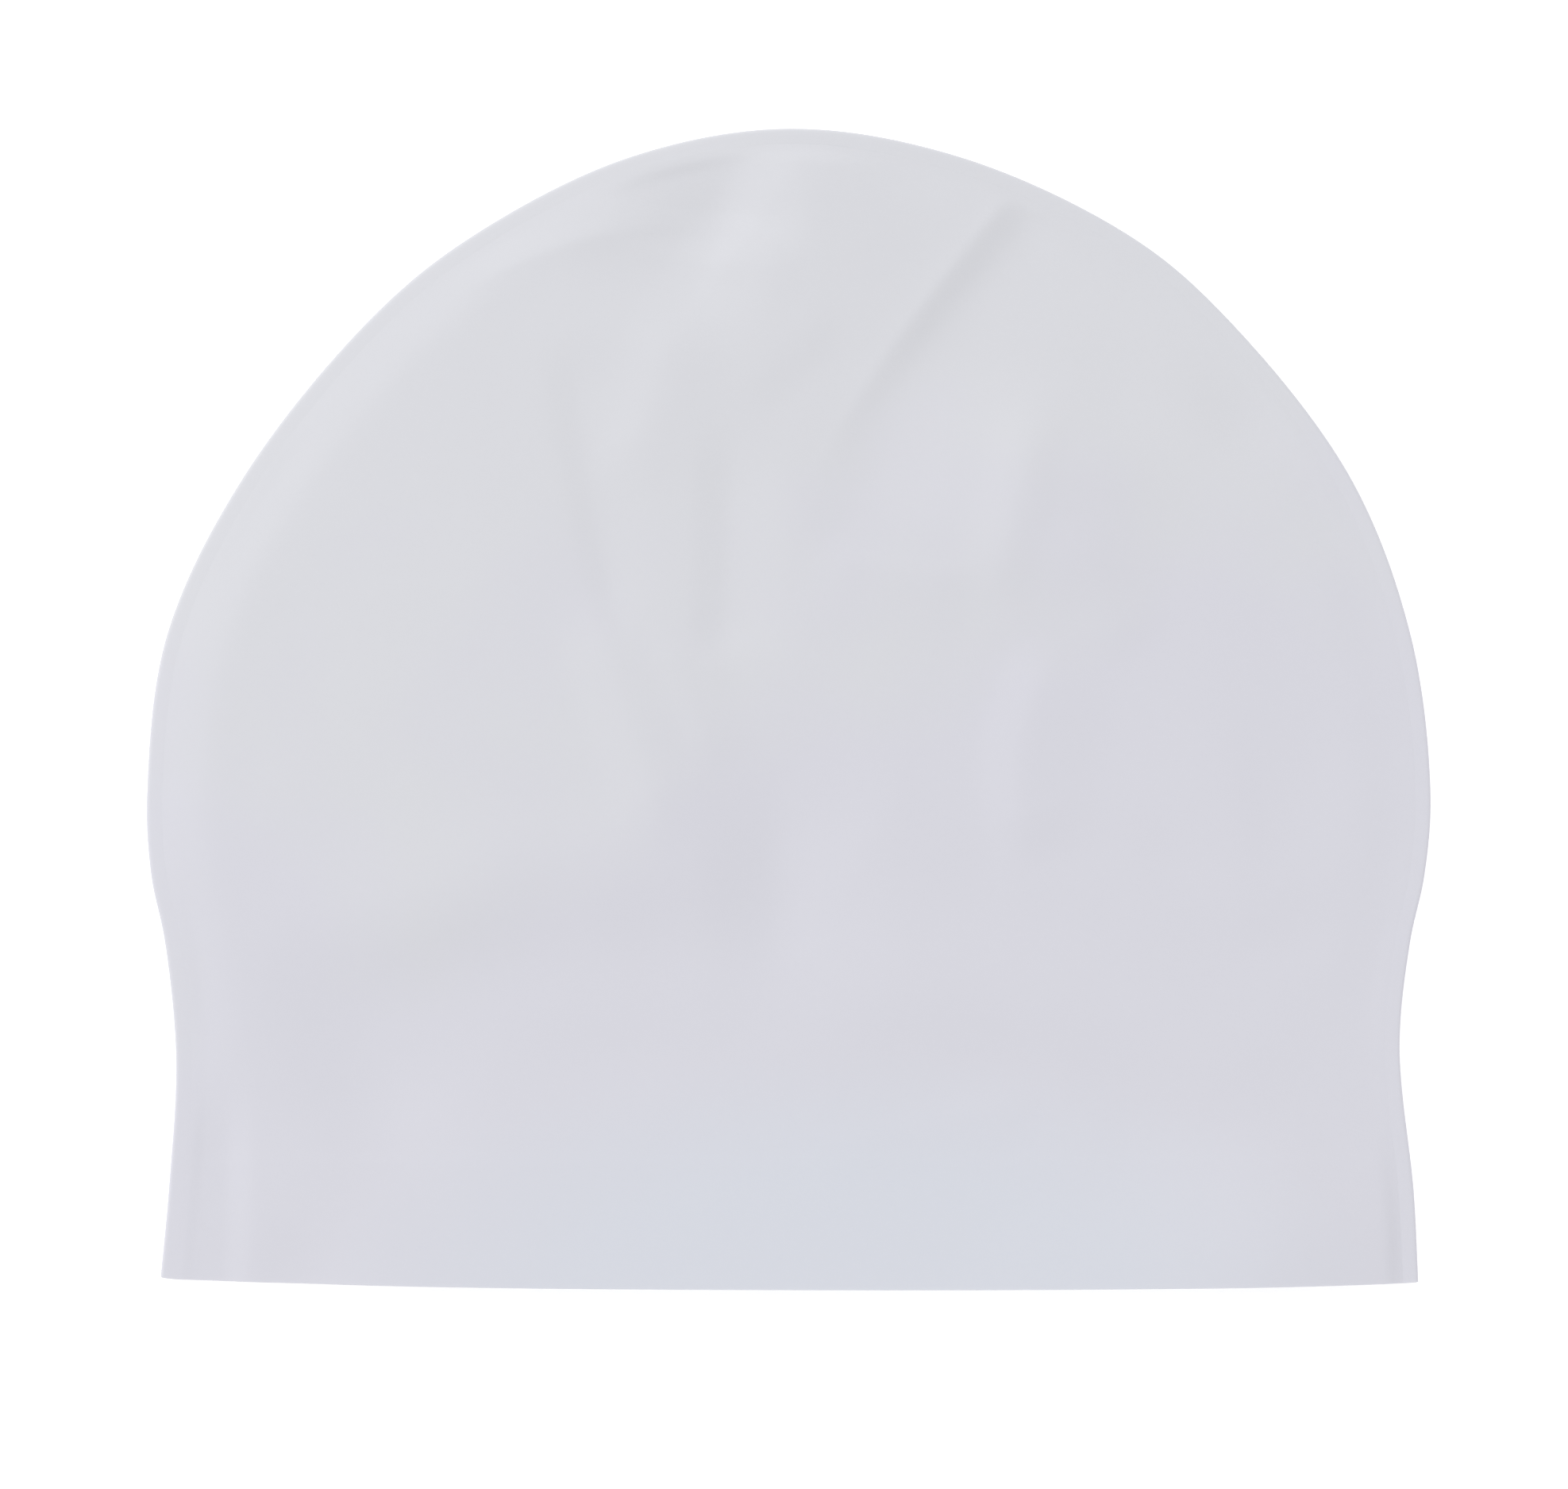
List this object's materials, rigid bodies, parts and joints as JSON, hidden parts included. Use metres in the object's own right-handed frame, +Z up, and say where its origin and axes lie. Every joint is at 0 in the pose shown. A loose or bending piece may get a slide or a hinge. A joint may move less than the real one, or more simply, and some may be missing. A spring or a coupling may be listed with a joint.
{
  "type": "swim cap",
  "caption": "Plain one-piece silicone swim cap lying flat on its side, with a sloping border round the dome, soft creases and an open rim.",
  "frame": {"origin": "middle of the cap's outline on the surface it lies on", "axes": "+X across the cap along its rim, +Y from the rim towards the crown, +Z up from the surface"},
  "size_m": [0.2201, 0.1987, 0.0099],
  "materials": {
    "silicone": "satin pale grey-white silicone, very slightly translucent"
  },
  "bodies": {
    "root": {"cap_shell": "silicone"}
  },
  "joints": []
}
